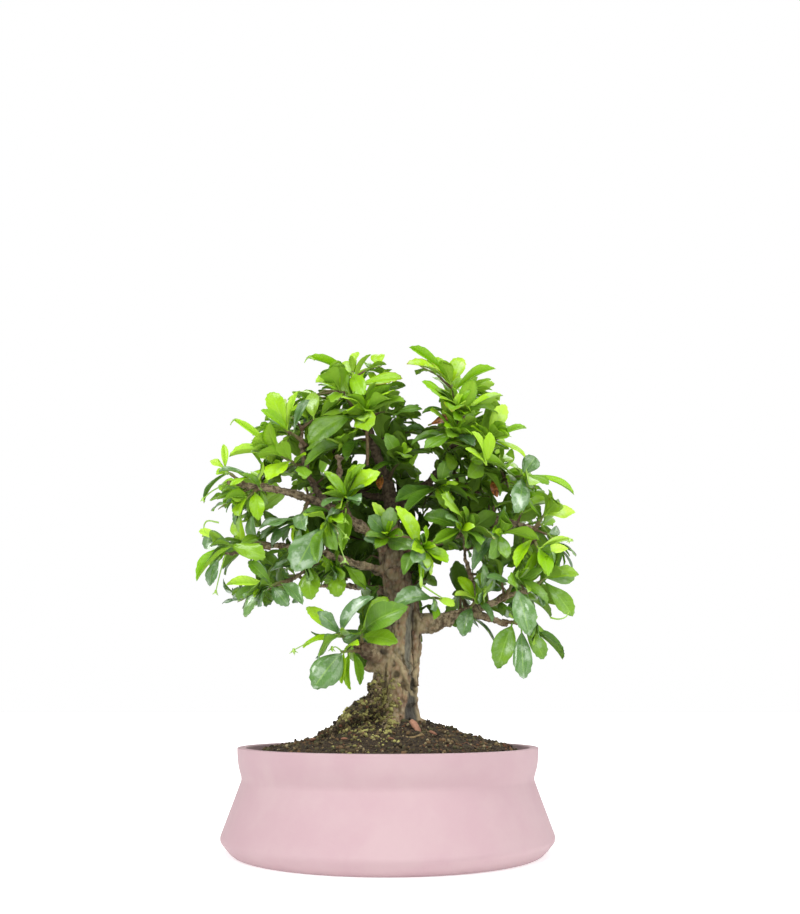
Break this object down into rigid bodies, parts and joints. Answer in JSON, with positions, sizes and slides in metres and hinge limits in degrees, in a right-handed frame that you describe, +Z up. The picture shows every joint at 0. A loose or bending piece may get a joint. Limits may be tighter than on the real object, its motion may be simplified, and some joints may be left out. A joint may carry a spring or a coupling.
{
  "type": "bonsai tree in a round ceramic pot",
  "caption": "Fukien tea bonsai with a fluted trunk and an open crown of small glossy leaves, in a round waisted ceramic pot filled with a mound of soil.",
  "frame": {"origin": "on the surface that the pot stands on, in the middle of the pot's foot, which is the middle of the whole plant's box too", "axes": "+Z up along the pot's axis, -Y towards the tree's front as the picture shows it, +X to its right"},
  "size_m": [0.2097, 0.18, 0.2837],
  "materials": {
    "pot": "matte",
    "screen": "matte",
    "grit": "matte",
    "soil": "matte",
    "wood": "matte",
    "leaf": "satin"
  },
  "bodies": {
    "root": {"pot": "pot", "drainage_mesh": "screen", "drainage_gravel": "grit", "soil": "soil", "trunk_and_branches": "wood", "spray_crown_left_top": "leaf", "spray_crown_left_side": "leaf", "spray_crown_left_front": "leaf", "spray_inner_left": "leaf", "spray_upper_left_fan": "leaf", "spray_upper_left_low": "leaf", "spray_far_left_tip": "leaf", "spray_far_left_hanging": "leaf", "spray_left_mid_arched": "leaf", "spray_left_front_hanging": "leaf", "spray_left_far_low": "leaf", "spray_left_low_tips": "leaf", "spray_left_under_big": "leaf", "spray_left_under_mid": "leaf", "spray_stump_up": "leaf", "spray_stump_right": "leaf", "spray_stump_low": "leaf", "spray_centre_left_bright": "leaf", "spray_centre_v": "leaf", "spray_front_twig_leaves": "leaf", "spray_trunk_front_leaf": "leaf", "spray_low_right_inner": "leaf", "spray_low_right_hanging": "leaf", "spray_low_right_glossy": "leaf", "spray_right_end_low": "leaf", "spray_right_end_mid": "leaf", "spray_right_end_high": "leaf", "spray_right_mid_grey": "leaf", "spray_centre_right_big": "leaf", "spray_right_shoulder_hang": "leaf", "spray_right_shoulder_top": "leaf", "spray_crown_right_top": "leaf", "spray_crown_right_mid": "leaf", "spray_crown_right_low": "leaf", "spray_centre_dark": "leaf", "spray_centre_dark_right": "leaf", "spray_back_crown_left": "leaf", "spray_back_crown_right": "leaf", "spray_back_crown_middle": "leaf", "spray_back_left_high": "leaf", "spray_back_left_outer": "leaf", "spray_back_left_behind": "leaf", "spray_back_left_low": "leaf", "spray_back_left_low_behind": "leaf", "spray_back_middle_high": "leaf", "spray_back_middle_low": "leaf", "spray_back_inner_left": "leaf", "spray_back_right_high": "leaf", "spray_back_right_outer": "leaf", "spray_back_right_behind": "leaf", "spray_back_right_low": "leaf", "spray_back_right_low_behind": "leaf", "spray_side_right": "leaf", "spray_side_left_high": "leaf", "spray_side_left_low": "leaf"}
  },
  "joints": []
}
